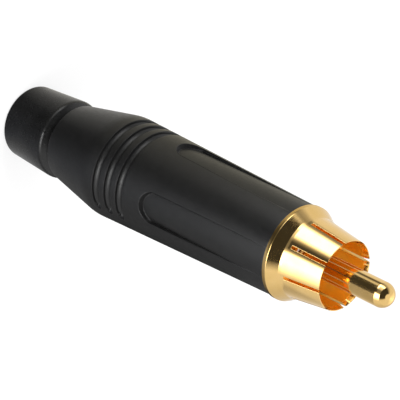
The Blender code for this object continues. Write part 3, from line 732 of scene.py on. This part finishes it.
def make_pin():
    """Centre pin with a round nose; its tail ends in an open solder cup."""
    nose_steps = 16
    nose = [(PIN_RADIUS * math.sin(math.pi / 2 * step / nose_steps),
             PIN_TIP_Z - PIN_RADIUS * (1 - math.cos(math.pi / 2 * step / nose_steps)), 0.0)
            for step in range(nose_steps + 1)]
    nose.append((PIN_RADIUS, PIN_TIP_Z - PIN_RADIUS - 0.0001, 0.0))
    collar_radius = 0.00229
    collar_front_z = 0.0471 + SEAM
    collar_rear_z = collar_front_z - 0.0008
    tail_radius = 0.0013
    cup_radius = 0.0009
    cup_floor_z = PIN_REAR_Z + 0.0035
    profile = nose + rounded([
        (PIN_RADIUS, collar_front_z, 0.0),
        (collar_radius, collar_front_z, 0.0001),
        (collar_radius, collar_rear_z, 0.0001),
        (tail_radius, collar_rear_z, 0.0),
        (tail_radius, PIN_REAR_Z, 0.0001),
        (cup_radius, PIN_REAR_Z, 0.0001),
        (cup_radius, cup_floor_z, 0.0),
    ])
    profile = [point[:2] for point in profile] + [(0.0, cup_floor_z)]
    bm = spun(profile, 112, closed=False)
    pin = new_piece(bm, "contact_pin", "contact_unit", gold, ["center_pin"])
    carve(pin, box((-0.003, 0.0, PIN_REAR_Z - 0.001), (0.003, 0.003, PIN_REAR_Z + 0.0024)))
    return pin


def make_insulators():
    """Front disc with its boss, and the plain rear disc."""
    boss_radius = 0.00232
    low, high = (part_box("front_insulator")[index].z for index in (0, 1))
    front = spun(rounded([
        (0.00175, high, 0.0001),
        (boss_radius, high, 0.0001),
        (boss_radius, low + 0.0022, 0.0),
        (STACK_RADIUS, low + 0.0022, 0.00015),
        (STACK_RADIUS, low, 0.00015),
        (0.00175, low, 0.0001),
    ]), 96)
    new_piece(front, "front_insulator_disc", "contact_unit", white_plastic,
              ["front_insulator"])
    low, high = (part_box("rear_insulator")[index].z for index in (0, 1))
    rear = spun(rounded([
        (0.0015, high, 0.0001),
        (STACK_RADIUS, high, 0.00015),
        (STACK_RADIUS, low, 0.00015),
        (0.0015, low, 0.0001),
    ]), 96)
    new_piece(rear, "rear_insulator_disc", "contact_unit", white_plastic,
              ["rear_insulator"])


def make_retaining_ring():
    """Plain ring that closes the rear of the contact."""
    inner_radius = 0.0032
    low, high = (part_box("retaining_ring")[index].z for index in (0, 1))
    bm = spun(rounded([
        (inner_radius, high, 0.0001),
        (STACK_RADIUS, high, 0.0001),
        (STACK_RADIUS, low, 0.0001),
        (inner_radius, low, 0.0001),
    ]), 96)
    return new_piece(bm, "stack_retaining_ring", "contact_unit", tin, ["retaining_ring"])


def make_ground_lug():
    """Ring with a solder tab that has a wire hole and a rounded end."""
    low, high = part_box("ground_lug")
    thickness = 0.0004
    tab_outer_y = 0.00268
    tab_inner_y = tab_outer_y - thickness
    half_width = 0.0011
    bm = spun(rounded([
        (tab_inner_y - 0.0001, high.z, 0.00005),
        (STACK_RADIUS, high.z, 0.00008),
        (STACK_RADIUS, high.z - thickness, 0.00008),
        (tab_inner_y - 0.0001, high.z - thickness, 0.00005),
    ]), 96)
    lug = new_piece(bm, "screen_solder_lug", "contact_unit", tin, ["ground_lug"])
    tab = box((-half_width, tab_inner_y, low.z), (half_width, tab_outer_y, high.z - 0.0001))
    ends = [edge for edge in tab.edges
            if all(vert.co.z < low.z + MERGE_DISTANCE for vert in edge.verts)
            and abs(edge.verts[0].co.x - edge.verts[1].co.x) < MERGE_DISTANCE]
    bmesh.ops.bevel(tab, geom=ends, offset=half_width * 0.9, segments=8, affect="EDGES", profile=0.5,
                    material=-1)
    carve(lug, tab, "UNION")
    hole = bmesh.new()
    place = Matrix.Translation((0, tab_inner_y, low.z + half_width)) @ Matrix.Rotation(math.pi / 2, 4, "X")
    bmesh.ops.create_cone(hole, cap_ends=True, segments=32, radius1=0.0005, radius2=0.0005, depth=0.002,
                          matrix=place)
    carve(lug, hole)
    return lug


def make_sleeve():
    """Thin tube round the soldered joints."""
    inner_radius = SLEEVE_RADIUS - 0.0004
    bm = spun(rounded([
        (inner_radius, SLEEVE_FRONT_Z, 0.0001),
        (SLEEVE_RADIUS, SLEEVE_FRONT_Z, 0.0001),
        (SLEEVE_RADIUS, SLEEVE_REAR_Z, 0.0001),
        (inner_radius, SLEEVE_REAR_Z, 0.0001),
    ]), 96)
    return new_piece(bm, "joint_sleeve", "sleeve", grey_plastic, ["insulating_sleeve"])


def make_clamp():
    """Chuck of four toothed jaws."""
    tooth_pitch = 0.0007
    tooth_height = 0.0002
    slot_half_width = 0.0004
    teeth = []
    for index in range(12):
        root_z = CLAMP_REAR_Z + 0.001 + index * tooth_pitch
        teeth.append((CABLE_BORE_RADIUS, root_z, 0.0))
        teeth.append((CABLE_BORE_RADIUS + tooth_height, root_z + tooth_pitch * 0.8, 0.0))
    bm = spun(rounded([
        (CABLE_BORE_RADIUS + tooth_height, CLAMP_FRONT_Z, 0.0001),
        (CLAMP_RADIUS, CLAMP_FRONT_Z, 0.0001),
        (CLAMP_RADIUS, CLAMP_REAR_Z + CLAMP_CONE_LENGTH, 0.001),
        (CABLE_BORE_RADIUS + 0.0005, CLAMP_REAR_Z, 0.0001),
        (CABLE_BORE_RADIUS, CLAMP_REAR_Z, 0.0001),
        *teeth,
    ]), 96)
    clamp = new_piece(bm, "clamp_jaws", "shell", grey_plastic, ["cable_clamp"])
    for turn in (0.25, 0.75):
        carve(clamp, box((-0.006, -slot_half_width, CLAMP_REAR_Z - 0.001),
                         (0.006, slot_half_width, CLAMP_FRONT_Z - 0.003), math.pi * turn))
    return clamp


def make_camera():
    """Long lens that looks down on the standing plug, turned so that the pin points down to the right."""
    place = Vector((0.05076, -0.18945, 0.18880))
    azimuth = math.radians(CAMERA_AZIMUTH)
    roll = math.radians(116.25)
    back = towards(CAMERA_AZIMUTH, 38.61)
    level_right = Vector((math.cos(azimuth), math.sin(azimuth), 0.0))
    level_up = back.cross(level_right)
    right = level_right * math.cos(roll) + level_up * math.sin(roll)
    up = back.cross(right)
    data = bpy.data.cameras.new("photo_camera")
    data.lens = 180.0
    data.sensor_width = 36.0
    data.clip_start = 0.01
    camera = bpy.data.objects.new("photo_camera", data)
    bpy.context.scene.collection.objects.link(camera)
    turn = Matrix((right, up, back)).transposed().to_4x4()
    camera.matrix_world = Matrix.Translation(place) @ turn
    bpy.context.scene.camera = camera


def azimuth_of(tree, vector):
    """Azimuth round the plug's axis as a share of a turn, 0.5 towards the camera."""
    turn = tree.nodes.new("ShaderNodeMapping")
    turn.inputs["Rotation"].default_value = (0, 0, math.radians(90.0 - CAMERA_AZIMUTH))
    tree.links.new(vector, turn.inputs["Vector"])
    radial = tree.nodes.new("ShaderNodeTexGradient")
    radial.gradient_type = "RADIAL"
    tree.links.new(turn.outputs["Vector"], radial.inputs["Vector"])
    return radial.outputs["Fac"]


def choose(tree, test, otherwise, when_true):
    """One shader where the test holds, and the other elsewhere."""
    mix = tree.nodes.new("ShaderNodeMixShader")
    tree.links.new(test, mix.inputs["Fac"])
    tree.links.new(otherwise, mix.inputs[1])
    tree.links.new(when_true, mix.inputs[2])
    return mix.outputs["Shader"]


def graded(tree, azimuth, levels):
    """Colour ramp that gives each azimuth round the plug its own brightness and tint."""
    ramp = tree.nodes.new("ShaderNodeValToRGB")
    stops = ramp.color_ramp.elements
    while len(stops) < len(levels):
        stops.new(0.5)
    for stop, (angle, level, tint) in zip(stops, levels):
        stop.position = 0.5 + angle / 360.0
        stop.color = (*(level * part for part in tint), 1.0)
    tree.links.new(azimuth, ramp.inputs["Fac"])
    return ramp.outputs["Color"]


def blend_colours(tree, share, first, second):
    """Go from the first colour to the second by a share."""
    mix = tree.nodes.new("ShaderNodeMix")
    mix.data_type = "RGBA"
    tree.links.new(share, mix.inputs["Factor"])
    tree.links.new(first, mix.inputs["A"])
    tree.links.new(second, mix.inputs["B"])
    return mix.outputs["Result"]


def between(tree, value, low, high):
    """Share from 0 to 1 of the way that a value has gone from low to high."""
    node = tree.nodes.new("ShaderNodeMapRange")
    node.interpolation_type = "SMOOTHSTEP"
    node.inputs["From Min"].default_value = low
    node.inputs["From Max"].default_value = high
    tree.links.new(value, node.inputs["Value"])
    return node.outputs["Result"]


def make_floor():
    """White floor. Reflections see it painted instead: graded, as a floor that soft light falls on from the
    sides, with glowing rings for soft boxes and darker sectors for shade.
    """
    bm = bmesh.new()
    bmesh.ops.create_grid(bm, x_segments=1, y_segments=1, size=2.0)
    mesh = bpy.data.meshes.new("floor")
    bm.to_mesh(mesh)
    bm.free()
    floor = bpy.data.objects.new("floor", mesh)
    bpy.context.scene.collection.objects.link(floor)
    material = bpy.data.materials.new("pale_floor")
    material.use_nodes = True
    tree = material.node_tree
    shader = tree.nodes["Principled BSDF"]
    shader.inputs["Base Color"].default_value = (0.9, 0.9, 0.9, 1.0)
    shader.inputs["Roughness"].default_value = 0.9

    place = tree.nodes.new("ShaderNodeTexCoord").outputs["Object"]
    azimuth = azimuth_of(tree, place)
    reach = tree.nodes.new("ShaderNodeVectorMath")
    reach.operation = "LENGTH"
    tree.links.new(place, reach.inputs[0])
    distance = reach.outputs["Value"]
    look = graded(tree, azimuth, NEAR_FLOOR)
    for levels, start, stop in ((FLARE_FLOOR, 0.0085, 0.0105), (MIDDLE_FLOOR, 0.020, 0.030),
                                (FAR_FLOOR, 0.078, 0.084), (SOFT_BOXES, 0.108, 0.114),
                                (LOW_SKY, 0.170, 0.190)):
        share = between(tree, distance, start, stop)
        look = blend_colours(tree, share, look, graded(tree, azimuth, levels))
    # Painted reflection: glossy rays see this glow of soft boxes and shade, which lights nothing else
    painted_reflection = tree.nodes.new("ShaderNodeEmission")
    tree.links.new(look, painted_reflection.inputs["Color"])

    seen = tree.nodes.new("ShaderNodeEmission")
    shaded = tree.nodes.new("ShaderNodeMixShader")
    shaded.inputs["Fac"].default_value = 0.7
    tree.links.new(shader.outputs[0], shaded.inputs[1])
    tree.links.new(seen.outputs[0], shaded.inputs[2])
    path = tree.nodes.new("ShaderNodeLightPath")
    direct = choose(tree, path.outputs["Is Camera Ray"], shader.outputs[0], shaded.outputs[0])
    mirrored = choose(tree, path.outputs["Is Glossy Ray"], direct, painted_reflection.outputs[0])
    tree.links.new(mirrored, tree.nodes["Material Output"].inputs["Surface"])
    mesh.materials.append(material)


def make_world():
    """Plain white studio. Reflections see a painted sky instead, which only they see: its soft boxes low
    down and a dark space above the camera.
    """
    world = bpy.data.worlds.new("studio")
    world.use_nodes = True
    tree = world.node_tree
    plain = tree.nodes["Background"]
    plain.inputs["Color"].default_value = (1.0, 1.0, 1.0, 1.0)
    plain.inputs["Strength"].default_value = 0.8
    direction = tree.nodes.new("ShaderNodeTexCoord").outputs["Generated"]
    azimuth = azimuth_of(tree, direction)
    height = tree.nodes.new("ShaderNodeSeparateXYZ")
    tree.links.new(direction, height.inputs["Vector"])
    low = graded(tree, azimuth, LOW_SKY)
    high = graded(tree, azimuth, HIGH_SKY)
    zenith = graded(tree, azimuth, ZENITH)
    look = blend_colours(tree, between(tree, height.outputs["Z"], 0.24, 0.31), low, high)
    look = blend_colours(tree, between(tree, height.outputs["Z"], 0.88, 0.95), look, zenith)
    # Painted reflection: a sky of soft boxes and dark space that only glossy rays see
    painted_reflection = tree.nodes.new("ShaderNodeBackground")
    tree.links.new(look, painted_reflection.inputs["Color"])
    seen = tree.nodes.new("ShaderNodeBackground")
    path = tree.nodes.new("ShaderNodeLightPath")
    direct = choose(tree, path.outputs["Is Camera Ray"], plain.outputs[0], seen.outputs[0])
    mirrored = choose(tree, path.outputs["Is Glossy Ray"], direct, painted_reflection.outputs[0])
    tree.links.new(mirrored, tree.nodes["World Output"].inputs["Surface"])
    bpy.context.scene.world = world


def make_lamp(name, azimuth, elevation, distance, size, power, colour=(1.0, 1.0, 1.0)):
    """Soft lamp that faces the middle of the plug."""
    aim = Vector((0.0, 0.0, 0.035))
    back = towards(azimuth, elevation)
    data = bpy.data.lights.new(name, "AREA")
    data.shape = "RECTANGLE"
    data.size = size[0]
    data.size_y = size[1]
    data.energy = power
    data.color = colour
    lamp = bpy.data.objects.new(name, data)
    lamp.visible_glossy = False
    bpy.context.scene.collection.objects.link(lamp)
    turn = back.to_track_quat("Z", "Y").to_matrix().to_4x4()
    lamp.matrix_world = Matrix.Translation(aim + back * distance) @ turn


make_shell()
make_boot()
make_contact()
make_thread()
make_pin()
make_insulators()
make_retaining_ring()
make_ground_lug()
make_sleeve()
make_clamp()

make_camera()
make_floor()
make_world()
make_lamp("left_lamp", -50.0, 45.0, 0.5, (0.3, 0.3), 1.2)
make_lamp("right_lamp", 80.0, 45.0, 0.5, (0.3, 0.3), 1.2)
make_lamp("top_lamp", 15.0, 85.0, 0.6, (0.4, 0.4), 1.0)

bpy.context.scene.view_settings.view_transform = "Standard"
